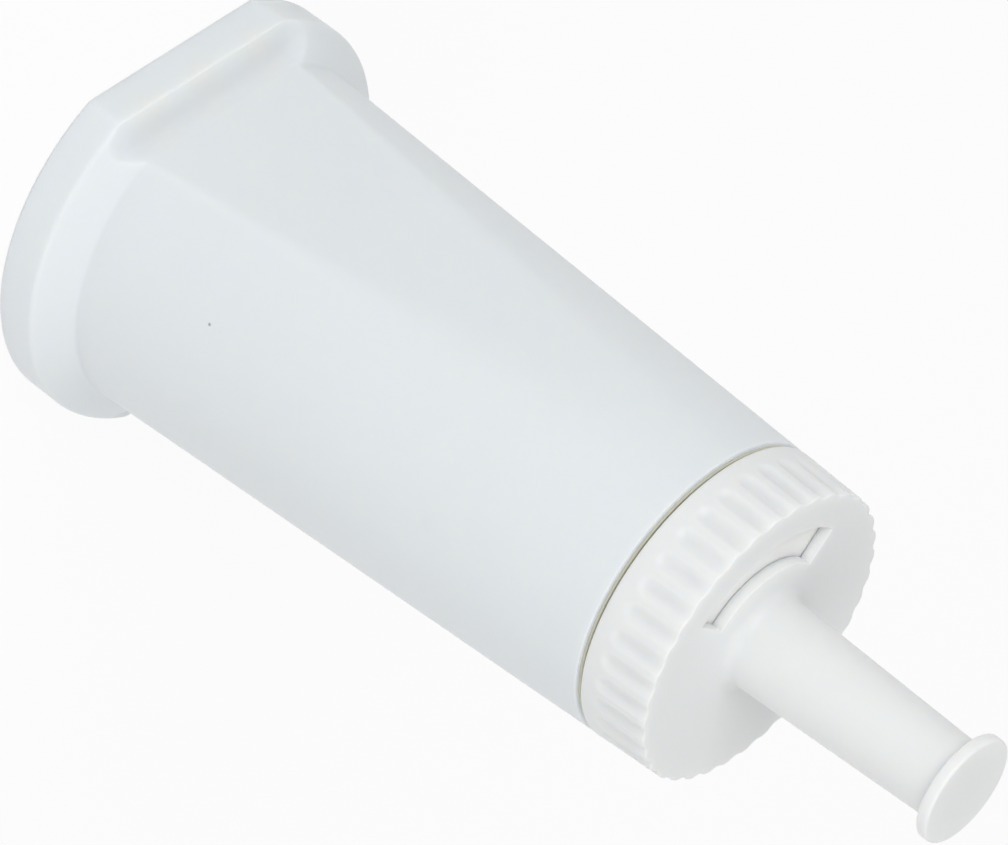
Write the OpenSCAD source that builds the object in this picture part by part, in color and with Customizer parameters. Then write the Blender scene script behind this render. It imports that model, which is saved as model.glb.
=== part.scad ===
// Tank water filter cartridge for a coffee machine. It stands on its flange, with the handle stem up.
// Z = 0 is the foot of the flange, and the two flats face -Y and +Y.

/* [Flange] */
// Diameter of the round flange at the foot
flange_d = 55; // [53:0.5:58]
// Distance across the two flats of the flange
flange_across = 48.6; // [47:0.2:50]
// Height of the flange's upright rim
rim_h = 5.4; // [4.6:0.1:7]
// Height of the slope between the rim and the body
shoulder_h = 3.5; // [3:0.1:4.5]
// Rounding of the edges between the rim, the slope and the body
rim_round = 0.9; // [0.4:0.1:1.2]
// Rounding of the flange's edge at the foot
foot_round = 0.4; // [0.2:0.1:0.8]

/* [Body] */
// Diameter of the body where the shoulder meets it
body_foot_d = 46.8; // [45.6:0.2:48]
// Diameter of the body just under the cap
body_top_d = 38.8; // [38:0.2:39.4]
// Height of the body's top edge above the foot
body_top_z = 85.25; // [75:0.25:100]
// Distance across the two flat facets of the body
facet_across = 40.3; // [39.6:0.1:42]
// Wall of the body, the flange and the neck
wall = 1.6; // [1.2:0.1:2]

/* [Neck] */
// Diameter of the neck that the dial cap snaps over
neck_d = 33.8; // [32.8:0.2:34]
// How far the snap bead stands out from the neck
bead_out = 0.55; // [0.4:0.05:0.7]
// Height of the snap bead
bead_h = 1.2; // [1:0.1:1.6]
// Diameter of the pivot stud in the middle of the neck's end
stud_d = 7.2; // [6:0.2:7.6]
// Height of the pivot stud
stud_h = 7; // [4:0.5:10]

/* [Dial cap] */
// Open seam between the body and the dial cap
seam_gap = 0.7; // [0.4:0.05:1]
// Height of the knurled part of the cap
cap_h = 9.1; // [8.6:0.1:10.5]
// Diameter of the cap at the seam
cap_d = 38.8; // [38.4:0.1:39.6]
// Diameter of the cap at its end face
cap_face_d = 37.9; // [37.5:0.1:38.4]
// Rounding of the edge round the end face
cap_edge = 0.6; // [0.3:0.1:0.7]
// Thickness of the cap's end face
face_t = 1.4; // [1.1:0.05:1.8]
// Height of the retaining lip inside the cap's mouth
lip_h = 1.15; // [0.8:0.05:1.4]

/* [Finger grip] */
// Number of grooves round the cap
groove_count = 36; // [24:2:48]
// Width of a groove
groove_w = 1.4; // [1:0.05:1.6]
// Depth of a groove
groove_deep = 0.42; // [0.25:0.01:0.5]
// Height of the plain collar under the grooves
collar_h = 2; // [1:0.1:3]
// Turn of the first groove away from +X
groove_turn = 3.3; // [0:0.1:10]

/* [Date window] */
// Angle that the window spans
window_angle = 92; // [60:1:120]
// Inner radius of the window
window_r_in = 9.9; // [9:0.1:11]
// Outer radius of the window
window_r_out = 14.5; // [13:0.1:15.5]

/* [Handle stem] */
// Diameter of the stem at its foot
stem_foot_d = 11.7; // [11:0.1:12.4]
// Diameter of the stem under the end disc
stem_tip_d = 9.7; // [9:0.1:10.6]
// Length of the stem from the end face to the end disc
stem_l = 28.6; // [22:0.2:36]
// Fillet at the foot of the stem
stem_fillet = 2.3; // [1.5:0.1:2.8]
// Diameter of the end disc
disc_d = 13.55; // [12:0.05:16]
// Thickness of the end disc
disc_t = 1.5; // [1.2:0.1:2.5]
// Wall left round and above the stem's moulding core
stem_wall = 1.8; // [1.5:0.1:2.2]

/* [Base] */
// Height of the base plate's face above the foot
base_recess = 2.2; // [1.5:0.1:2.6]
// Diameter of the outlet socket
outlet_d = 12; // [10:0.5:13]
// Depth of the outlet socket below its sealing washer
outlet_deep = 8; // [6:0.5:12]
// Height of the socket's mouth above the foot
outlet_z = 0.8; // [0.5:0.1:1.5]
// Wall of the socket and of the tube's collar
socket_wall = 2; // [1.5:0.1:2.4]
// Number of inlet slots round the base plate
slot_count = 24; // [16:2:30]
// Width of an inlet slot
slot_w = 1.2; // [0.8:0.1:1.4]
// Inner radius of the ring of slots
slot_r_in = 12; // [11:0.5:13]
// Outer radius of the ring of slots
slot_r_out = 19; // [17:0.5:20]
// Outer diameter of the sealing washer
seal_d = 13.2; // [12.8:0.1:14]
// Thickness of the sealing washer
seal_t = 2; // [1.5:0.1:2.5]
// Bore of the sealing washer
seal_bore = 7; // [6:0.2:8]

/* [Filling] */
// Outer diameter of the riser tube
tube_d = 9.6; // [8.6:0.2:10]
// Bore of the riser tube
tube_bore = 7.2; // [6:0.2:7.4]
// Depth of the collar that holds the riser tube
collar_deep = 5; // [3:0.5:8]
// Thickness of each fleece disc
fleece_t = 2; // [1:0.1:3]
// Height of the resin layer
resin_h = 54; // [40:1:60]
// Height of the ribs that keep the top fleece off the neck's end
rib_h = 1.8; // [1:0.1:2.4]

/* [Fits] */
// Radial running gap of the pivot stud in the stem
stud_gap = 0.08; // [0.05:0.01:0.1]
// Gap between the cap's skirt and the neck or its bead
skirt_gap = 0.3; // [0.25:0.05:0.35]
// Gap between the cap's end face and the neck's end
face_gap = 0.15; // [0.1:0.05:0.3]
// Gap round the base plate
plate_gap = 0.1; // [0.05:0.05:0.2]
// Gap round the fleece discs and the granules
fill_gap = 0.15; // [0.05:0.05:0.3]
// Gap round the riser tube and the sealing washer
tube_gap = 0.05; // [0.02:0.01:0.1]

/* [Hidden] */

// Number of straight steps in a round edge
edge_steps = 5;
// Overshoot of a cut past the face that it opens
past = 1;

// Main heights
shoulder_z = rim_h + shoulder_h;
cap_foot_z = body_top_z + seam_gap;
cap_face_z = cap_foot_z + cap_h;
cap_under_z = cap_face_z - face_t;
neck_end_z = cap_under_z - face_gap;
stud_top_z = neck_end_z + stud_h;
disc_z = cap_face_z + stem_l;
top_z = disc_z + disc_t;

// Snap bead on the neck, and the lip that passes under it
lip_top_z = cap_foot_z + lip_h;
bead_z = lip_top_z + skirt_gap;
bead_r = neck_d / 2 + bead_out;
lip_r = neck_d / 2 + skirt_gap;
skirt_r = bead_r + skirt_gap;

// Stem core
pivot_r = stud_d / 2 + stud_gap;
pivot_top_z = stud_top_z + 1;
core_r = stem_tip_d / 2 - stem_wall;
core_top_z = disc_z - stem_wall;

// Base plate, its socket and the collar for the riser tube
plate_z = base_recess;
plate_top_z = rim_h - wall * turn_in(flange_d - body_foot_d);
socket_r = outlet_d / 2 + socket_wall;
seal_z = outlet_z + outlet_deep;
cup_top_z = seal_z + seal_t + socket_wall;
collar_r = tube_d / 2 + tube_gap + socket_wall;
collar_top_z = cup_top_z + collar_deep;

// Levels of the filling, from the base plate up to the ribs
resin_z = plate_top_z + fleece_t;
divider_z = resin_z + resin_h;
carbon_z = divider_z + fleece_t;
rib_z = neck_end_z - wall - rib_h;
upper_z = rib_z - fleece_t;

// How much sooner a shell's inside turns into the shoulder slope, for each millimetre of wall
function turn_in(step) = tan(atan(step / 2 / shoulder_h) / 2);

// Points of the round edge of radius b[2] at corner b between corners a and c
function round_corner(a, b, c) =
    let (
        to_a = [a[0] - b[0], a[1] - b[1]] / norm([a[0] - b[0], a[1] - b[1]]),
        to_c = [c[0] - b[0], c[1] - b[1]] / norm([c[0] - b[0], c[1] - b[1]]),
        half = acos(to_a * to_c) / 2,
        mid = (to_a + to_c) / norm(to_a + to_c),
        centre = [b[0], b[1]] + mid * b[2] / sin(half),
        from = [b[0], b[1]] + to_a * b[2] / tan(half) - centre,
        upto = [b[0], b[1]] + to_c * b[2] / tan(half) - centre,
        sweep = 180 - 2 * half
    )
    [for (i = [0:edge_steps])
        centre + (from * sin(sweep * (1 - i / edge_steps)) + upto * sin(sweep * i / edge_steps)) / sin(sweep)];

// Outline through corners [x, y, rounding], where a rounding of 0 leaves the corner sharp
function outline(corners) = [
    for (k = [0:len(corners) - 1])
        let (
            before = corners[(k + len(corners) - 1) % len(corners)],
            here = corners[k],
            after = corners[(k + 1) % len(corners)]
        )
        each here[2] == 0 ? [[here[0], here[1]]] : round_corner(before, here, after)
];

module turned(corners, sides = 144) {
    rotate_extrude($fn = sides) polygon(outline(corners));
}

// Straight bar along X. Its section has these corners on the +Y side and their mirror image on the other.
module flat_sides(corners) {
    mirrored = [for (i = [len(corners) - 1:-1:0]) [-corners[i][0], corners[i][1], corners[i][2]]];
    rotate([90, 0, 90])
        linear_extrude(flange_d + 2, center = true) polygon(outline(concat(corners, mirrored)));
}

// Inside of the housing, held back from its outside by the wall plus a gap
module inside(gap = 0) {
    inset = wall + gap;
    slope_z = inset * turn_in(flange_d - body_foot_d);
    flat_slope_z = inset * turn_in(flange_across - facet_across);
    intersection() {
        turned([
            [0, -past, 0],
            [flange_d / 2 - inset, -past, 0],
            [flange_d / 2 - inset, rim_h - slope_z, 0],
            [body_foot_d / 2 - inset, shoulder_z - slope_z, 0],
            [body_top_d / 2 - inset, body_top_z - inset, 0],
            [neck_d / 2 - inset, body_top_z - inset, 0],
            [neck_d / 2 - inset, neck_end_z - inset, 0],
            [0, neck_end_z - inset, 0]
        ]);
        flat_sides([
            [flange_across / 2 - inset, -past, 0],
            [flange_across / 2 - inset, rim_h - flat_slope_z, 0],
            [facet_across / 2 - inset, shoulder_z - flat_slope_z, 0],
            [facet_across / 2 - inset, neck_end_z, 0]
        ]);
    }
}

// Layer of the filling between two heights, with a hole for what runs up the middle
module layer(low_z, high_z) {
    difference() {
        intersection() {
            inside(fill_gap);
            translate([0, 0, low_z]) cylinder(h = high_z - low_z, d = flange_d + 2, $fn = 96);
        }
        children();
    }
}

// Hole that clears the riser tube
module tube_hole() {
    translate([0, 0, -past]) cylinder(h = top_z, d = tube_d + 2 * tube_gap, $fn = 64);
}

// Hole that clears the socket's cup and the tube's collar
module hub_hole() {
    turned([
        [0, 0, 0],
        [socket_r + fill_gap, 0, 0],
        [socket_r + fill_gap, cup_top_z + fill_gap, 0],
        [collar_r + fill_gap, cup_top_z + fill_gap, 0],
        [collar_r + fill_gap, collar_top_z + fill_gap, 0],
        [0, collar_top_z + fill_gap, 0]
    ], 64);
}

// Tapered shell with the flange, the facets, the neck and its closed end
module housing() {
    bead_mid_z = bead_z + bead_h / 2;
    color([0.94, 0.95, 0.96])
    union() {
        difference() {
            intersection() {
                turned([
                    [0, 0, 0],
                    [flange_d / 2, 0, foot_round],
                    [flange_d / 2, rim_h, rim_round],
                    [body_foot_d / 2, shoulder_z, rim_round],
                    [body_top_d / 2, body_top_z, 0.3],
                    [neck_d / 2, body_top_z, 0],
                    [neck_d / 2, bead_z, 0],
                    [bead_r, bead_mid_z - bead_h / 4, 0.2],
                    [bead_r, bead_mid_z + bead_h / 4, 0.2],
                    [neck_d / 2, bead_z + bead_h, 0],
                    [neck_d / 2, neck_end_z, 0.4],
                    [stud_d / 2, neck_end_z, 0],
                    [stud_d / 2, stud_top_z, 0.5],
                    [0, stud_top_z, 0]
                ]);
                flat_sides([
                    [flange_across / 2, 0, foot_round],
                    [flange_across / 2, rim_h, rim_round],
                    [facet_across / 2, shoulder_z, rim_round],
                    [facet_across / 2, top_z, 0]
                ]);
            }
            inside();
        }
        end_ribs();
    }
}

// Ribs under the neck's end that leave channels for the water above the top fleece
module end_ribs() {
    rib_count = 8;
    rib_t = 1.2;
    rib_in = tube_d / 2 + 1;
    rib_out = neck_d / 2 - wall + 0.5;
    for (i = [0:rib_count - 1])
        rotate([0, 0, (i + 0.5) * 360 / rib_count])
            translate([rib_in, -rib_t / 2, rib_z])
                cube([rib_out - rib_in, rib_t, rib_h + 0.5]);
}

// Round-ended cutter for one finger groove. It leans with the cap's taper.
module groove() {
    ball_r = (groove_w * groove_w / 4 + groove_deep * groove_deep) / (2 * groove_deep);
    lean = atan((cap_d - cap_face_d) / 2 / cap_h);
    run = cap_h - collar_h + past;
    translate([cap_d / 2 + ball_r - groove_deep, 0, cap_foot_z])
        rotate([0, -lean, 0])
            translate([0, 0, collar_h])
                rotate_extrude($fn = 24)
                    polygon(outline([[0, 0, 0], [ball_r, 0, ball_r * 0.98], [ball_r, run, 0], [0, run, 0]]));
}

// Sector of a ring, centred on -Y, through which the neck's end is seen
module window_cut() {
    rotate([0, 0, -90 - window_angle / 2])
        rotate_extrude(angle = window_angle, $fn = 144)
            translate([window_r_in, cap_under_z - past])
                square([window_r_out - window_r_in, face_t + 2 * past]);
}

// Knurled dial cap with its date window, handle stem and end disc in one moulding
module dial_cap() {
    color([0.96, 0.96, 0.95])
    difference() {
        turned([
            [lip_r, cap_foot_z, 0.2],
            [cap_d / 2, cap_foot_z, 0.3],
            [cap_face_d / 2, cap_face_z, cap_edge],
            [stem_foot_d / 2, cap_face_z, stem_fillet],
            [stem_tip_d / 2, disc_z, 0.2],
            [disc_d / 2, disc_z, disc_t / 4],
            [disc_d / 2, top_z, disc_t / 4],
            [0, top_z, 0],
            [0, core_top_z, 0],
            [core_r, core_top_z, 0.6],
            [core_r, pivot_top_z, 0],
            [pivot_r, pivot_top_z, 0],
            [pivot_r, cap_under_z, 0],
            [skirt_r, cap_under_z, 0.4],
            [skirt_r, lip_top_z, 0],
            [lip_r, lip_top_z, 0.2]
        ]);
        window_cut();
        for (i = [0:groove_count - 1])
            rotate([0, 0, groove_turn + i * 360 / groove_count]) groove();
    }
}

// Slotted plate that closes the foot, with the outlet socket and the collar for the riser tube
module base_plate() {
    color([0.90, 0.91, 0.92])
    difference() {
        union() {
            intersection() {
                inside(plate_gap);
                translate([0, 0, plate_z])
                    cylinder(h = plate_top_z - plate_z, d = flange_d + 2, $fn = 96);
            }
            turned([
                [0, outlet_z, 0],
                [socket_r, outlet_z, 0.5],
                [socket_r, cup_top_z, 0],
                [collar_r, cup_top_z, 0],
                [collar_r, collar_top_z, 0.4],
                [0, collar_top_z, 0]
            ], 96);
        }
        translate([0, 0, outlet_z - past]) cylinder(h = outlet_deep + past, d = outlet_d, $fn = 96);
        translate([0, 0, seal_z]) cylinder(h = seal_t, d = seal_d + 2 * tube_gap, $fn = 96);
        translate([0, 0, outlet_z]) cylinder(h = cup_top_z, d = seal_bore, $fn = 64);
        translate([0, 0, cup_top_z])
            cylinder(h = collar_deep + past, d = tube_d + 2 * tube_gap, $fn = 64);
        for (i = [0:slot_count - 1])
            rotate([0, 0, (i + 0.5) * 360 / slot_count])
                translate([slot_r_in, -slot_w / 2, plate_z - past])
                    cube([slot_r_out - slot_r_in, slot_w, plate_top_z - plate_z + 2 * past]);
    }
}

// Soft washer at the end of the outlet socket
module outlet_seal() {
    color([0.30, 0.31, 0.33])
    turned([
        [seal_bore / 2, seal_z, 0.3],
        [seal_d / 2, seal_z, 0],
        [seal_d / 2, seal_z + seal_t, 0],
        [seal_bore / 2, seal_z + seal_t, 0]
    ], 96);
}

// Tube that takes the filtered water down from the top to the outlet
module riser_tube() {
    color([0.90, 0.91, 0.92])
    turned([
        [tube_bore / 2, cup_top_z, 0],
        [tube_d / 2, cup_top_z, 0.3],
        [tube_d / 2, rib_z, 0.3],
        [tube_bore / 2, rib_z, 0]
    ], 96);
}

// Fleece disc over the inlet slots
module lower_fleece() {
    color([0.97, 0.97, 0.95])
    layer(plate_top_z, resin_z) hub_hole();
}

// Ion exchange resin granules
module resin_bed() {
    color([0.85, 0.62, 0.30])
    layer(resin_z, divider_z) {
        hub_hole();
        tube_hole();
    }
}

// Fleece disc between the two kinds of granules
module divider_fleece() {
    color([0.97, 0.97, 0.95])
    layer(divider_z, carbon_z) tube_hole();
}

// Activated carbon granules
module carbon_bed() {
    color([0.12, 0.12, 0.13])
    layer(carbon_z, upper_z) tube_hole();
}

// Fleece disc under the neck's end
module upper_fleece() {
    color([0.97, 0.97, 0.95])
    layer(upper_z, rib_z) tube_hole();
}

housing();
dial_cap();
base_plate();
outlet_seal();
riser_tube();
lower_fleece();
resin_bed();
divider_fleece();
carbon_bed();
upper_fleece();
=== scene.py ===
import math

import bmesh
import bpy
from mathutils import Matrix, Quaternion, Vector


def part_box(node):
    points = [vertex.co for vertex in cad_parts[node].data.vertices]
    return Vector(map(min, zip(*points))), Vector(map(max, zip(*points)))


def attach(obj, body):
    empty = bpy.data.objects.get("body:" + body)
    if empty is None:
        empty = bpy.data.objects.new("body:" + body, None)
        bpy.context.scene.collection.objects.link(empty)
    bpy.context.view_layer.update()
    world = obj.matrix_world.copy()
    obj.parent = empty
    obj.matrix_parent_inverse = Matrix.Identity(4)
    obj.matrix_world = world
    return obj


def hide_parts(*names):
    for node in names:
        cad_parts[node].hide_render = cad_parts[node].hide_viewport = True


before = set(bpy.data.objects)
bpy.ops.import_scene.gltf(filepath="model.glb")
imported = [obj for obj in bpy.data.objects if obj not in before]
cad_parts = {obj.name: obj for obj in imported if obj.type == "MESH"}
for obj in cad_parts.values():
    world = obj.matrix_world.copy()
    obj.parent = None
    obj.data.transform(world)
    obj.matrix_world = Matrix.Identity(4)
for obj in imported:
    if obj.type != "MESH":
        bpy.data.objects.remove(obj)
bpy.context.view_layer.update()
mm = 0.001
print("stage: frame loaded")

# The camera stands where the photograph was taken from. The roll turns the picture about its centre.
photoCamera = {
    "place": (0.2949, -0.4229, 0.3203),
    "aim": (-0.00178, -0.00125, 0.05342),
    "roll": 126.65,
    "lens": 181.86,
    "sensor": 36.0,
}


def makeCamera(settings):
    data = bpy.data.cameras.new("photoCamera")
    data.lens = settings["lens"]
    data.sensor_width = settings["sensor"]
    data.clip_start, data.clip_end = 0.01, 50
    camera = bpy.data.objects.new("photoCamera", data)
    bpy.context.scene.collection.objects.link(camera)
    sight = Vector(settings["aim"]) - Vector(settings["place"])
    camera.location = settings["place"]
    camera.rotation_mode = "QUATERNION"
    roll = Quaternion((0, 0, 1), math.radians(settings["roll"]))
    camera.rotation_quaternion = sight.to_track_quat("-Z", "Y") @ roll
    bpy.context.scene.camera = camera


makeCamera(photoCamera)
print("stage: camera")


# Points along corners (radius, height, rounding). A rounding of 0 keeps the corner sharp.
def roundedLine(corners, steps=6):
    line = [Vector(corners[0][:2])]
    for before, here, after in zip(corners, corners[1:], corners[2:]):
        corner = Vector(here[:2])
        rounding = here[2]
        if rounding == 0:
            line.append(corner)
            continue
        toBefore = (Vector(before[:2]) - corner).normalized()
        toAfter = (Vector(after[:2]) - corner).normalized()
        half = toBefore.angle(toAfter) / 2
        centre = corner + (toBefore + toAfter).normalized() * rounding / math.sin(half)
        start = corner + toBefore * rounding / math.tan(half) - centre
        end = corner + toAfter * rounding / math.tan(half) - centre
        sweep = math.pi - 2 * half
        for i in range(steps + 1):
            share = i / steps
            turned = start * math.sin(sweep * (1 - share)) + end * math.sin(sweep * share)
            line.append(centre + turned / math.sin(sweep))
    line.append(Vector(corners[-1][:2]))
    return line


# Extra points on long straight stretches, close to their ends and then evenly
def refined(line, hold, longest):
    points = [line[0]]
    for a, b in zip(line, line[1:]):
        length = (b - a).length
        if length > 4 * hold:
            along = (b - a) / length
            inner = length - 2 * hold
            pieces = max(1, math.ceil(inner / longest))
            points += [a + along * (hold + inner * i / pieces) for i in range(pieces + 1)]
        points.append(b)
    return points


# Smaller of two lengths, with a soft turn from one to the other
def softSmaller(a, b, blend):
    overlap = max(blend - abs(a - b), 0) / blend
    return min(a, b) - overlap * overlap * blend / 4


# Mesh piece through rings of points from one pole to the other
def loftedPiece(name, rings, keepFace=None, extraFaces=()):
    bm = bmesh.new()
    rows = [[bm.verts.new(point) for point in ring] for ring in rings]
    for row, (low, high) in enumerate(zip(rows, rows[1:])):
        count = max(len(low), len(high))
        for i in range(count):
            j = (i + 1) % count
            if keepFace and not keepFace(row, i):
                continue
            if len(low) == 1:
                corners = [low[0], high[j], high[i]]
            elif len(high) == 1:
                corners = [low[i], low[j], high[0]]
            else:
                corners = [low[i], low[j], high[j], high[i]]
            bm.faces.new(corners)
    for face in extraFaces:
        bm.faces.new([rows[row][i] for row, i in face])
    bmesh.ops.delete(bm, geom=[v for v in bm.verts if not v.link_faces], context="VERTS")
    bmesh.ops.recalc_face_normals(bm, faces=bm.faces)
    for face in bm.faces:
        face.smooth = True
    for edge in bm.edges:
        edge.smooth = edge.calc_face_angle(0) < math.radians(50)
    mesh = bpy.data.meshes.new(name)
    bm.to_mesh(mesh)
    bm.free()
    piece = bpy.data.objects.new(name, mesh)
    bpy.context.scene.collection.objects.link(piece)
    weighted = piece.modifiers.new("evenNormals", "WEIGHTED_NORMAL")
    weighted.keep_sharp = True
    return piece


housingLow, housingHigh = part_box("housing")
capLow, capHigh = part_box("dial_cap")

# Sizes in metres. What the frame gives is taken from it, and the rest are the housing's own sizes.
housingForm = {
    "flangeRadius": housingHigh.x,
    "flangeFlat": housingHigh.y,
    "rim": 5.4 * mm,
    "shoulder": 8.9 * mm,
    "bodyFootRadius": 23.4 * mm,
    "bodyTopRadius": 19.4 * mm,
    "bodyTop": 85.25 * mm,
    "facet": 20.15 * mm,
    "wall": 1.6 * mm,
    "neckRadius": 16.9 * mm,
    "seamStepRadius": 18.95 * mm,
    "seamStepTop": 85.62 * mm,
    "beadOut": 0.55 * mm,
    "beadMiddle": 88.0 * mm,
    "neckEnd": 93.57 * mm,
    "studRadius": 3.6 * mm,
    "studTop": housingHigh.z,
    "edge": 0.9 * mm,
    "footEdge": 0.4 * mm,
    "flatBlend": 0.25 * mm,
    "columns": 480,
}


def makeHousing(form):
    wall = form["wall"]
    rim, shoulder, bodyTop = form["rim"], form["shoulder"], form["bodyTop"]
    flange, foot, top = form["flangeRadius"], form["bodyFootRadius"], form["bodyTopRadius"]
    neck, bead = form["neckRadius"], form["beadMiddle"]
    slopeShift = wall * math.tan(math.atan2(flange - foot, shoulder - rim) / 2)
    outside = roundedLine([
        (0, form["studTop"], 0),
        (form["studRadius"], form["studTop"], 0.5 * mm),
        (form["studRadius"], form["neckEnd"], 0),
        (neck, form["neckEnd"], 0.4 * mm),
        (neck, bead + 0.6 * mm, 0),
        (neck + form["beadOut"], bead + 0.3 * mm, 0.2 * mm),
        (neck + form["beadOut"], bead - 0.3 * mm, 0.2 * mm),
        (neck, bead - 0.6 * mm, 0),
        (neck, form["seamStepTop"], 0),
        (form["seamStepRadius"], form["seamStepTop"], 0.08 * mm),
        (form["seamStepRadius"], bodyTop, 0),
        (top, bodyTop, 0.25 * mm),
        (foot, shoulder, form["edge"]),
        (flange, rim, form["edge"]),
        (flange, 0, form["footEdge"]),
        (flange - wall, 0, 0),
    ])
    inside = roundedLine([
        (flange - wall, 0, 0),
        (flange - wall, rim - slopeShift, 0),
        (foot - wall, shoulder - slopeShift, 0),
        (top - wall, bodyTop - wall, 0),
        (neck - wall, bodyTop - wall, 0),
        (neck - wall, form["neckEnd"] - wall, 0),
        (0, form["neckEnd"] - wall, 0),
    ])
    rimDrop = flange - form["flangeFlat"]

    def ring(radius, height, inset):
        if radius < 1e-9:
            return [(0, 0, height)]
        # a hollow ledge leads from the flange's flat to the facet
        climb = min(max((height - rim) / (shoulder - rim), 0), 1)
        ledge = (form["flangeFlat"] - form["facet"]) * (1 - math.sqrt(max(0, 1 - (1 - climb) ** 2)))
        flat = form["facet"] + ledge - inset
        if height < shoulder:
            flat = min(flat, radius - rimDrop)
        # the facets' edges are crisp at the foot and fade towards the cap
        blend = form["flatBlend"] * (1 + 4 * max(height - shoulder, 0) / (bodyTop - shoulder))
        points = []
        for i in range(form["columns"]):
            angle = 2 * math.pi * i / form["columns"]
            side = max(abs(math.sin(angle)), 1e-6)
            reach = softSmaller(radius, flat / side, blend)
            points.append((reach * math.cos(angle), reach * math.sin(angle), height))
        return points

    outer = outside[:1]
    for a, b in zip(outside, outside[1:]):
        onLedge = rim - mm < min(a.y, b.y) < shoulder - 0.2 * mm
        outer += refined([a, b], 0.15 * mm, 0.3 * mm if onLedge else 2 * mm)[1:]
    inner = refined(inside, 0.3 * mm, 6 * mm)[1:]
    rings = [ring(p.x, p.y, 0) for p in outer] + [ring(p.x, p.y, wall) for p in inner]
    return loftedPiece("housing_shell", rings)


housingShell = makeHousing(housingForm)
print("stage: housing shell")

capForm = {
    "foot": capLow.z,
    "face": 95.05 * mm,
    "footRadius": 19.4 * mm,
    "faceRadius": 18.95 * mm,
    "faceEdge": 0.2 * mm,
    "faceThickness": 1.4 * mm,
    "lipRadius": 17.2 * mm,
    "lipTop": 87.1 * mm,
    "skirtRadius": 17.75 * mm,
    "stemFootRadius": 5.85 * mm,
    "stemTipRadius": 4.85 * mm,
    "stemFillet": 1.6 * mm,
    "discRadius": 6.775 * mm,
    "discThickness": 1.5 * mm,
    "top": capHigh.z,
    "pivotRadius": 3.68 * mm,
    "pivotTop": 101.5 * mm,
    "coreRadius": 3.05 * mm,
    "coreTop": 121.85 * mm,
    "columns": 720,
}

gripForm = {
    "count": 36,
    "turn": 3.3,
    "width": 2.5 * mm,
    "depth": 0.36 * mm,
    "start": 2 * mm,
}

windowForm = {
    "middle": -90,
    "angle": 92,
    "inner": 9.9 * mm,
    "outer": 14.5 * mm,
    "edge": 0.12 * mm,
}


# Depth of the finger grooves at an angle in degrees and a height above the cap's foot
def gripDepth(angle, height, radius):
    pitch = 360 / gripForm["count"]
    away = (angle - gripForm["turn"] + pitch / 2) % pitch - pitch / 2
    across = radius * math.radians(away)
    below = max(0, gripForm["start"] + gripForm["width"] / 2 - height)
    share = min(1, math.hypot(across, below) / (gripForm["width"] / 2))
    return gripForm["depth"] * (1 - share * share) ** 1.5


# How far a point of the end face drops towards the rounded edge of the window
def windowDrop(angle, radius):
    away = abs((angle - windowForm["middle"] + 180) % 360 - 180)
    beside = math.radians(max(0, away - windowForm["angle"] / 2)) * radius
    outside = max(0, radius - windowForm["outer"], windowForm["inner"] - radius)
    gap = math.hypot(beside, outside)
    edge = windowForm["edge"]
    if gap >= edge:
        return 0
    return edge - math.sqrt(max(0, edge * edge - (edge - gap) ** 2))


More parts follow.
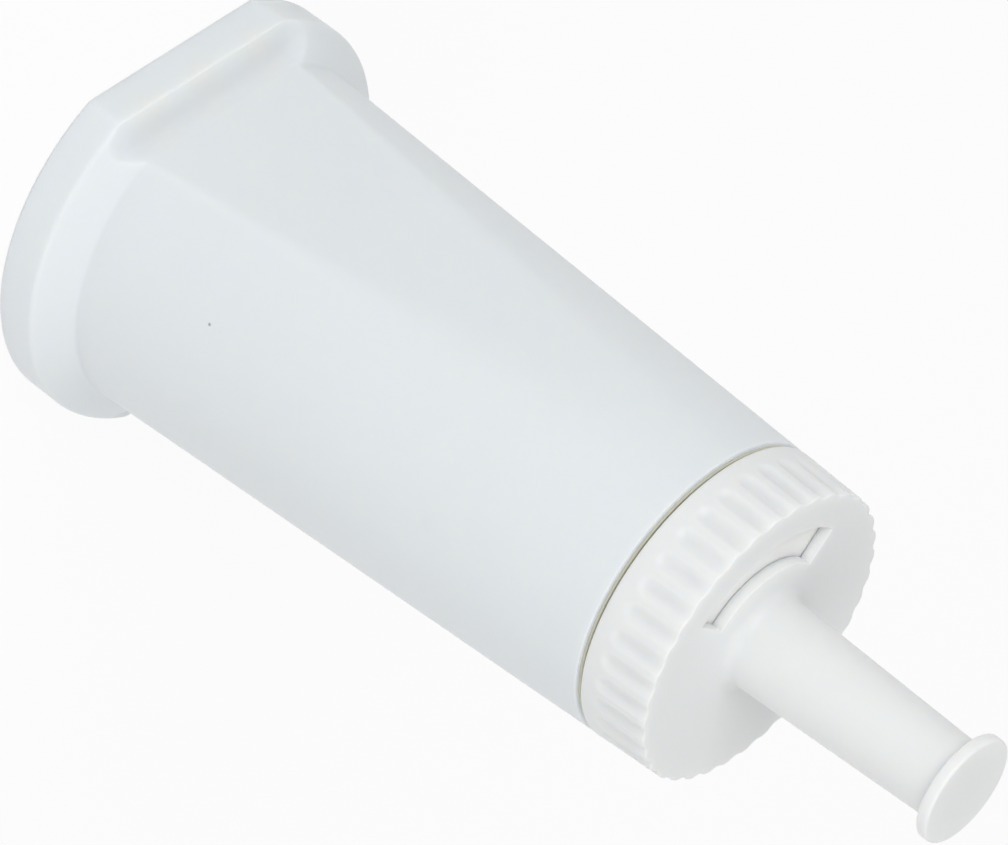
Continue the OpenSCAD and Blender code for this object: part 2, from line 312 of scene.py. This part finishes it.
def makeDialCap(form):
    face, foot, top = form["face"], form["foot"], form["top"]
    under = face - form["faceThickness"]
    discUnder = top - form["discThickness"]
    line = roundedLine([
        (0, top, 0),
        (form["discRadius"], top, form["discThickness"] / 4),
        (form["discRadius"], discUnder, form["discThickness"] / 4),
        (form["stemTipRadius"], discUnder, 0.2 * mm),
        (form["stemFootRadius"], face, form["stemFillet"]),
        (form["faceRadius"], face, form["faceEdge"]),
        (form["footRadius"], foot, 0.3 * mm),
        (form["lipRadius"], foot, 0.2 * mm),
        (form["lipRadius"], form["lipTop"], 0.2 * mm),
        (form["skirtRadius"], form["lipTop"], 0),
        (form["skirtRadius"], under, 0.4 * mm),
        (form["pivotRadius"], under, 0),
        (form["pivotRadius"], form["pivotTop"], 0),
        (form["coreRadius"], form["pivotTop"], 0),
        (form["coreRadius"], form["coreTop"], 0.6 * mm),
        (0, form["coreTop"], 0),
    ])
    inner, outer, edge = windowForm["inner"], windowForm["outer"], windowForm["edge"]
    between = [inner + (outer - inner) * i / 4 for i in range(5)]
    rounding = [edge * share for share in (0.12, 0.35, 0.65, 1.0)]
    faceRadii = sorted(between + [outer + r for r in rounding] + [inner - r for r in rounding])
    faceRadii.append(form["faceRadius"] - form["faceEdge"] - 0.8 * mm)
    stations = [line[0]]
    for a, b in zip(line, line[1:]):
        if abs(a.y - face) < 1e-7 and abs(b.y - face) < 1e-7:
            stations += [Vector((radius, face)) for radius in faceRadii]
        elif abs(a.y - under) < 1e-7 and abs(b.y - under) < 1e-7 and b.x < a.x:
            stations += [Vector((radius, under)) for radius in reversed(between)]
        elif a.x > form["skirtRadius"] + mm and b.x > form["skirtRadius"] + mm and a.y - b.y > mm:
            # side wall, with short steps where the grooves begin
            fine = [foot + gripForm["start"] + gripForm["width"] * i / 8 for i in range(-1, 6)]
            low = foot + 0.8 * mm
            heights = [a.y - 0.15 * mm, (a.y + fine[-1]) / 2] + fine[::-1] + [low]
            stations += [a + (b - a) * (a.y - height) / (a.y - b.y) for height in heights]
        elif (b - a).length > 1.2 * mm:
            stations += refined([a, b], 0.15 * mm, 5 * mm)[1:-1]
        stations.append(b)
    columns = form["columns"]
    angles = [360 * i / columns for i in range(columns)]

    def ring(radius, height):
        if radius < 1e-9:
            return [(0, 0, height)]
        points = []
        for angle in angles:
            reach, level = radius, height
            if radius > form["faceRadius"] - form["faceEdge"] - 0.01 * mm:
                reach -= gripDepth(angle, height - foot, radius)
            elif abs(height - face) < 1e-7:
                level -= windowDrop(angle, radius)
            turn = math.radians(angle)
            points.append((reach * math.cos(turn), reach * math.sin(turn), level))
        return points

    rings = [ring(p.x, p.y) for p in stations]

    # rows between the window's inner and outer radius, on the end face and under it
    def rowsAt(height):
        rows = [k for k, p in enumerate(stations) if abs(p.y - height) < 1e-7]
        return [min(rows, key=lambda k: abs(stations[k].x - radius)) for radius in between]

    faceRows, underRows = rowsAt(face), rowsAt(under)
    half = windowForm["angle"] / 2
    first = round((windowForm["middle"] - half) % 360 / 360 * columns)
    last = round((windowForm["middle"] + half) % 360 / 360 * columns)
    openRows = set(range(faceRows[0], faceRows[-1])) | set(range(underRows[-1], underRows[0]))

    def keepFace(row, i):
        return not (row in openRows and first <= i < last)

    walls = []
    for i in range(first, last):
        for k in (0, -1):
            walls.append([(faceRows[k], i), (faceRows[k], i + 1), (underRows[k], i + 1), (underRows[k], i)])
    for i in (first, last):
        for k in range(len(between) - 1):
            walls.append([(faceRows[k], i), (faceRows[k + 1], i), (underRows[k + 1], i), (underRows[k], i)])
    return loftedPiece("dial_cap_shell", rings, keepFace, walls)


dialCapShell = makeDialCap(capForm)
print("stage: dial cap shell")


# Node trees. A helper adds a node with its settings and returns it.
def addNode(tree, kind, **values):
    node = tree.nodes.new(kind)
    for name, value in values.items():
        setattr(node, name, value)
    return node


def mathNode(tree, operation, a, b):
    node = addNode(tree, "ShaderNodeMath", operation=operation)
    for socket, value in zip(node.inputs, (a, b)):
        if isinstance(value, (int, float)):
            socket.default_value = value
        else:
            tree.links.new(value, socket)
    return node.outputs[0]


def newGroup(name, inputs, outputs):
    group = bpy.data.node_groups.new(name, "ShaderNodeTree")
    for socketName, socketType, value in inputs:
        socket = group.interface.new_socket(socketName, in_out="INPUT", socket_type=socketType)
        socket.default_value = value
    for socketName, socketType in outputs:
        group.interface.new_socket(socketName, in_out="OUTPUT", socket_type=socketType)
    start = addNode(group, "NodeGroupInput")
    end = addNode(group, "NodeGroupOutput")
    return group, start.outputs, end.inputs


# Moulded plastic skin: slow colour drift, fine spark-eroded grain and uneven gloss
def buildMouldedSkin():
    group, given, result = newGroup(
        "mouldedSkin",
        [
            ("Colour", "NodeSocketColor", (0.8, 0.8, 0.8, 1)),
            ("Drift", "NodeSocketFloat", 0.02),
            ("Grain Size", "NodeSocketFloat", 3000.0),
            ("Roughness", "NodeSocketFloat", 0.5),
            ("Gloss Spread", "NodeSocketFloat", 0.06),
        ],
        [("Colour", "NodeSocketColor"), ("Roughness", "NodeSocketFloat"), ("Height", "NodeSocketFloat")],
    )
    tree, link = group, group.links.new
    place = addNode(tree, "ShaderNodeTexCoord").outputs["Object"]
    drift = addNode(tree, "ShaderNodeTexNoise")
    drift.inputs["Scale"].default_value = 45
    drift.inputs["Detail"].default_value = 3
    link(place, drift.inputs["Vector"])
    grain = addNode(tree, "ShaderNodeTexNoise")
    grain.inputs["Detail"].default_value = 2
    link(place, grain.inputs["Vector"])
    link(given["Grain Size"], grain.inputs["Scale"])
    centred = mathNode(tree, "SUBTRACT", drift.outputs["Fac"], 0.5)
    amount = mathNode(tree, "MULTIPLY", centred, given["Drift"])
    shade = mathNode(tree, "ADD", amount, 1.0)
    tinted = addNode(tree, "ShaderNodeVectorMath", operation="SCALE")
    link(given["Colour"], tinted.inputs[0])
    link(shade, tinted.inputs["Scale"])
    link(tinted.outputs[0], result["Colour"])
    spread = mathNode(tree, "MULTIPLY", centred, given["Gloss Spread"])
    link(mathNode(tree, "ADD", spread, given["Roughness"]), result["Roughness"])
    link(grain.outputs["Fac"], result["Height"])
    return group


# Round mark at a place on the surface, 1 in its middle and 0 outside
def buildSmallMark():
    group, given, result = newGroup(
        "smallMark",
        [
            ("Place", "NodeSocketVector", (0, 0, 0)),
            ("Radius", "NodeSocketFloat", 0.0003),
            ("Softness", "NodeSocketFloat", 0.3),
        ],
        [("Mask", "NodeSocketFloat")],
    )
    link = group.links.new
    place = addNode(group, "ShaderNodeTexCoord").outputs["Object"]
    gap = addNode(group, "ShaderNodeVectorMath", operation="DISTANCE")
    link(place, gap.inputs[0])
    link(given["Place"], gap.inputs[1])
    share = mathNode(group, "DIVIDE", gap.outputs["Value"], given["Radius"])
    fade = addNode(group, "ShaderNodeMapRange", interpolation_type="SMOOTHSTEP")
    link(share, fade.inputs["Value"])
    link(mathNode(group, "SUBTRACT", 1.0, given["Softness"]), fade.inputs["From Min"])
    fade.inputs["From Max"].default_value = 1
    fade.inputs["To Min"].default_value = 1
    fade.inputs["To Max"].default_value = 0
    link(fade.outputs["Result"], result["Mask"])
    return group


mouldedSkin = buildMouldedSkin()
smallMark = buildSmallMark()


def newMaterial(name):
    material = bpy.data.materials.new(name)
    material.use_nodes = True
    tree = material.node_tree
    return material, tree, tree.nodes["Principled BSDF"]


def placeGroup(tree, group, **values):
    node = addNode(tree, "ShaderNodeGroup", node_tree=group)
    for name, value in values.items():
        node.inputs[name.replace("_", " ")].default_value = value
    return node


def addBump(tree, shader, height, strength, distance):
    bump = addNode(tree, "ShaderNodeBump")
    bump.inputs["Strength"].default_value = strength
    bump.inputs["Distance"].default_value = distance
    tree.links.new(height, bump.inputs["Height"])
    tree.links.new(bump.outputs["Normal"], shader.inputs["Normal"])


housingFinish = {
    "colour": (0.80, 0.838, 0.855, 1),
    # colour from a height in mm upwards: painted shade on the seam's step and in the gap under the cap, then painted
    # warm light on the neck inside the cap
    "paintedLightAndShadeBands": [
        # painted shade: an olive-dark band over the seam's step and the gap under the cap
        (85.3, (0.62, 0.61, 0.49, 1)),
        # painted light: a lighter warm tone on the neck inside the cap
        (86.4, (0.93, 0.93, 0.89, 1)),
    ],
    "drift": 0.03,
    "grain": 3200.0,
    "roughness": 0.42,
    # moulding specks, one faint blotch, and painted warm shade along the ledge where the slope under the front facet
    # faces up:
    # (place in mm, radius in mm, softness, strength, colour)
    "marksAndPaintedShade": [
        ((19.09, -11.86, 26.68), 0.28, 0.8, 0.7, (0.14, 0.13, 0.13, 1)),
        ((-4.85, -20.51, 8.62), 0.2, 0.8, 0.55, (0.18, 0.17, 0.16, 1)),
        ((-8.3, -20.63, 8.52), 0.34, 0.9, 0.35, (0.24, 0.23, 0.22, 1)),
        ((19.44, -6.89, 61.8), 1.3, 1.0, 0.04, (0.45, 0.47, 0.42, 1)),
        # painted warm shade along the ledge under the front facet, where the slope faces up
        ((-8, -22.8, 6.6), 5.5, 1.0, 0.3, (0.86, 0.82, 0.70, 1)),
        ((0, -22.8, 6.6), 5.5, 1.0, 0.3, (0.86, 0.82, 0.70, 1)),
        ((8, -22.8, 6.6), 5.5, 1.0, 0.3, (0.86, 0.82, 0.70, 1)),
    ],
}

capFinish = {
    "colour": (0.84, 0.855, 0.853, 1),
    "paintedLightAndShadeBands": [],
    "drift": 0.03,
    "grain": 3200.0,
    "roughness": 0.42,
    "marksAndPaintedShade": [],
}


def whitePlastic(name, finish):
    material, tree, shader = newMaterial(name)
    skin = placeGroup(
        tree, mouldedSkin,
        Colour=finish["colour"], Drift=finish["drift"],
        Grain_Size=finish["grain"], Roughness=finish["roughness"],
    )
    colour = skin.outputs["Colour"]
    # height bands of painted shade and painted light, laid over the plastic's colour
    for height, shade in finish["paintedLightAndShadeBands"]:
        place = addNode(tree, "ShaderNodeTexCoord").outputs["Object"]
        split = addNode(tree, "ShaderNodeSeparateXYZ")
        tree.links.new(place, split.inputs[0])
        above = mathNode(tree, "GREATER_THAN", split.outputs["Z"], height * mm)
        mixed = addNode(tree, "ShaderNodeMixRGB")
        tree.links.new(above, mixed.inputs["Fac"])
        tree.links.new(colour, mixed.inputs["Color1"])
        mixed.inputs["Color2"].default_value = shade
        colour = mixed.outputs["Color"]
    # specks, a blotch and painted shade, each a soft round mark mixed into the colour
    for place, radius, softness, strength, shade in finish["marksAndPaintedShade"]:
        mark = placeGroup(tree, smallMark, Place=[x * mm for x in place], Radius=radius * mm, Softness=softness)
        mixed = addNode(tree, "ShaderNodeMixRGB")
        tree.links.new(mathNode(tree, "MULTIPLY", mark.outputs["Mask"], strength), mixed.inputs["Fac"])
        tree.links.new(colour, mixed.inputs["Color1"])
        mixed.inputs["Color2"].default_value = shade
        colour = mixed.outputs["Color"]
    tree.links.new(colour, shader.inputs["Base Color"])
    tree.links.new(skin.outputs["Roughness"], shader.inputs["Roughness"])
    shader.inputs["IOR"].default_value = 1.49
    shader.inputs["Subsurface Weight"].default_value = 0.8
    shader.inputs["Subsurface Radius"].default_value = (1.0, 0.92, 0.78)
    shader.inputs["Subsurface Scale"].default_value = 1.5 * mm
    addBump(tree, shader, skin.outputs["Height"], 0.12, 0.00004)
    return material


housingShell.data.materials.append(whitePlastic("housingPlastic", housingFinish))
dialCapShell.data.materials.append(whitePlastic("capPlastic", capFinish))
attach(housingShell, "cartridge")
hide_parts("housing")
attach(dialCapShell, "dial")
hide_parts("dial_cap")
print("stage: plastics")


# Bed of loose grains: each grain has its own shade and stands out as a small dome
def buildGrainBed():
    group, given, result = newGroup(
        "grainBed",
        [
            ("Dark", "NodeSocketColor", (0.02, 0.02, 0.02, 1)),
            ("Light", "NodeSocketColor", (0.1, 0.1, 0.1, 1)),
            ("Grains per Metre", "NodeSocketFloat", 1500.0),
        ],
        [("Colour", "NodeSocketColor"), ("Height", "NodeSocketFloat")],
    )
    link = group.links.new
    place = addNode(group, "ShaderNodeTexCoord").outputs["Object"]
    cells = addNode(group, "ShaderNodeTexVoronoi")
    link(place, cells.inputs["Vector"])
    link(given["Grains per Metre"], cells.inputs["Scale"])
    tone = addNode(group, "ShaderNodeSeparateColor")
    link(cells.outputs["Color"], tone.inputs["Color"])
    mixed = addNode(group, "ShaderNodeMixRGB")
    link(tone.outputs["Red"], mixed.inputs["Fac"])
    link(given["Dark"], mixed.inputs["Color1"])
    link(given["Light"], mixed.inputs["Color2"])
    link(mixed.outputs["Color"], result["Colour"])
    link(mathNode(group, "SUBTRACT", 1.0, cells.outputs["Distance"]), result["Height"])
    return group


# Pressed fibres: two crossed sets of fine streaks
def buildPressedFibre():
    group, given, result = newGroup(
        "pressedFibre",
        [
            ("Colour", "NodeSocketColor", (0.85, 0.85, 0.82, 1)),
            ("Contrast", "NodeSocketFloat", 0.25),
        ],
        [("Colour", "NodeSocketColor"), ("Height", "NodeSocketFloat")],
    )
    link = group.links.new
    place = addNode(group, "ShaderNodeTexCoord").outputs["Object"]
    streaks = []
    for stretch in ((400, 4500, 1500), (4500, 400, 1500)):
        scaled = addNode(group, "ShaderNodeVectorMath", operation="MULTIPLY")
        link(place, scaled.inputs[0])
        scaled.inputs[1].default_value = stretch
        streak = addNode(group, "ShaderNodeTexNoise")
        streak.inputs["Scale"].default_value = 1
        streak.inputs["Distortion"].default_value = 1.5
        link(scaled.outputs[0], streak.inputs["Vector"])
        streaks.append(streak.outputs["Fac"])
    height = mathNode(group, "MAXIMUM", *streaks)
    lower = mathNode(group, "MULTIPLY", mathNode(group, "SUBTRACT", height, 0.6), given["Contrast"])
    shaded = addNode(group, "ShaderNodeVectorMath", operation="SCALE")
    link(given["Colour"], shaded.inputs[0])
    link(mathNode(group, "ADD", lower, 1.0), shaded.inputs["Scale"])
    link(shaded.outputs[0], result["Colour"])
    link(height, result["Height"])
    return group


grainBed = buildGrainBed()
pressedFibre = buildPressedFibre()

innerPlasticFinish = {"colour": (0.80, 0.825, 0.84, 1), "drift": 0.04, "grain": 2600.0, "roughness": 0.5}
sealFinish = {"colour": (0.075, 0.082, 0.092, 1), "drift": 0.12, "grain": 5200.0, "roughness": 0.68}
fleeceFinish = {"colour": (0.86, 0.86, 0.83, 1), "contrast": 0.35, "roughness": 0.95}
resinFinish = {"dark": (0.36, 0.17, 0.05, 1), "light": (0.78, 0.5, 0.2, 1), "grains": 1600.0, "roughness": 0.28}
carbonFinish = {"dark": (0.008, 0.008, 0.009, 1), "light": (0.045, 0.045, 0.05, 1), "grains": 1100.0, "roughness": 0.6}


def plainMoulding(name, finish, bump):
    material, tree, shader = newMaterial(name)
    skin = placeGroup(
        tree, mouldedSkin,
        Colour=finish["colour"], Drift=finish["drift"],
        Grain_Size=finish["grain"], Roughness=finish["roughness"],
    )
    tree.links.new(skin.outputs["Colour"], shader.inputs["Base Color"])
    tree.links.new(skin.outputs["Roughness"], shader.inputs["Roughness"])
    addBump(tree, shader, skin.outputs["Height"], bump, 0.05 * mm)
    return material


def looseGrains(name, finish):
    material, tree, shader = newMaterial(name)
    bed = placeGroup(tree, grainBed, Dark=finish["dark"], Light=finish["light"], Grains_per_Metre=finish["grains"])
    tree.links.new(bed.outputs["Colour"], shader.inputs["Base Color"])
    shader.inputs["Roughness"].default_value = finish["roughness"]
    addBump(tree, shader, bed.outputs["Height"], 0.9, 0.3 * mm)
    return material


def fibrePad(name, finish):
    material, tree, shader = newMaterial(name)
    pad = placeGroup(tree, pressedFibre, Colour=finish["colour"], Contrast=finish["contrast"])
    tree.links.new(pad.outputs["Colour"], shader.inputs["Base Color"])
    shader.inputs["Roughness"].default_value = finish["roughness"]
    shader.inputs["Sheen Weight"].default_value = 0.2
    addBump(tree, shader, pad.outputs["Height"], 0.8, 0.15 * mm)
    return material


# The CAD solids inside and under the housing keep their shape and get their finish here.
def dressSolid(node, material):
    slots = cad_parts[node].material_slots
    for slot in slots:
        slot.material = material


innerPlastic = plainMoulding("innerPlastic", innerPlasticFinish, 0.15)
fleece = fibrePad("fleece", fleeceFinish)
dressSolid("base_plate", innerPlastic)
dressSolid("riser_tube", innerPlastic)
dressSolid("outlet_seal", plainMoulding("sealRubber", sealFinish, 0.3))
for fleeceNode in ("lower_fleece", "divider_fleece", "upper_fleece"):
    dressSolid(fleeceNode, fleece)
dressSolid("resin_bed", looseGrains("resinBeads", resinFinish))
dressSolid("carbon_bed", looseGrains("carbonGrains", carbonFinish))
print("stage: inner finishes")

studio = {
    "floorSize": 8.0,
    "floorColour": (0.86, 0.86, 0.86, 1),
    "floorWhite": 0.9,
    "worldStrength": 0.53,
}


def makeFloor(settings):
    bm = bmesh.new()
    bmesh.ops.create_grid(bm, x_segments=1, y_segments=1, size=settings["floorSize"] / 2)
    mesh = bpy.data.meshes.new("studioFloor")
    bm.to_mesh(mesh)
    bm.free()
    floor = bpy.data.objects.new("studioFloor", mesh)
    bpy.context.scene.collection.objects.link(floor)
    material, tree, shader = newMaterial("floorPaper")
    shader.inputs["Base Color"].default_value = settings["floorColour"]
    shader.inputs["Roughness"].default_value = 0.9
    path = addNode(tree, "ShaderNodeLightPath")
    seen = mathNode(tree, "MAXIMUM", path.outputs["Is Camera Ray"], path.outputs["Is Glossy Ray"])
    seen = mathNode(tree, "MAXIMUM", seen, path.outputs["Is Transmission Ray"])
    share = mathNode(tree, "MULTIPLY", seen, settings["floorWhite"])
    white = addNode(tree, "ShaderNodeEmission")
    mix = addNode(tree, "ShaderNodeMixShader")
    tree.links.new(share, mix.inputs["Fac"])
    tree.links.new(shader.outputs[0], mix.inputs[1])
    tree.links.new(white.outputs[0], mix.inputs[2])
    tree.links.new(mix.outputs[0], tree.nodes["Material Output"].inputs["Surface"])
    mesh.materials.append(material)


def makeWorld(settings):
    world = bpy.data.worlds.new("studioWorld")
    world.use_nodes = True
    bpy.context.scene.world = world
    tree = world.node_tree
    around = tree.nodes["Background"]
    around.inputs["Color"].default_value = (1, 1, 1, 1)
    around.inputs["Strength"].default_value = settings["worldStrength"]
    white = addNode(tree, "ShaderNodeBackground")
    path = addNode(tree, "ShaderNodeLightPath")
    mix = addNode(tree, "ShaderNodeMixShader")
    tree.links.new(path.outputs["Is Camera Ray"], mix.inputs["Fac"])
    tree.links.new(around.outputs[0], mix.inputs[1])
    tree.links.new(white.outputs[0], mix.inputs[2])
    tree.links.new(mix.outputs[0], tree.nodes["World Output"].inputs["Surface"])


# Soft lamps: (azimuth, elevation, distance, size, watts), aimed at the middle of the cartridge
lamps = {
    "keyLamp": (11, 28, 1.6, 1.0, 9.2),
    "sideLamp": (80, 28, 1.6, 1.2, 2.8),
    "fillLamp": (130, 30, 1.6, 1.4, 3),
    "topLamp": (60, 82, 1.6, 1.2, 2.9),
}


def makeLamp(name, azimuth, elevation, distance, size, watts):
    data = bpy.data.lights.new(name, "AREA")
    data.size = size
    data.energy = watts
    lamp = bpy.data.objects.new(name, data)
    bpy.context.scene.collection.objects.link(lamp)
    a, e = math.radians(azimuth), math.radians(elevation)
    away = Vector((math.sin(a) * math.cos(e), -math.cos(a) * math.cos(e), math.sin(e)))
    lamp.location = Vector((0, 0, 0.06)) + away * distance
    lamp.rotation_mode = "QUATERNION"
    lamp.rotation_quaternion = (-away).to_track_quat("-Z", "Y")


makeFloor(studio)
makeWorld(studio)
for lampName, lampPlace in lamps.items():
    makeLamp(lampName, *lampPlace)
bpy.context.scene.view_settings.view_transform = "Standard"
print("stage: studio")
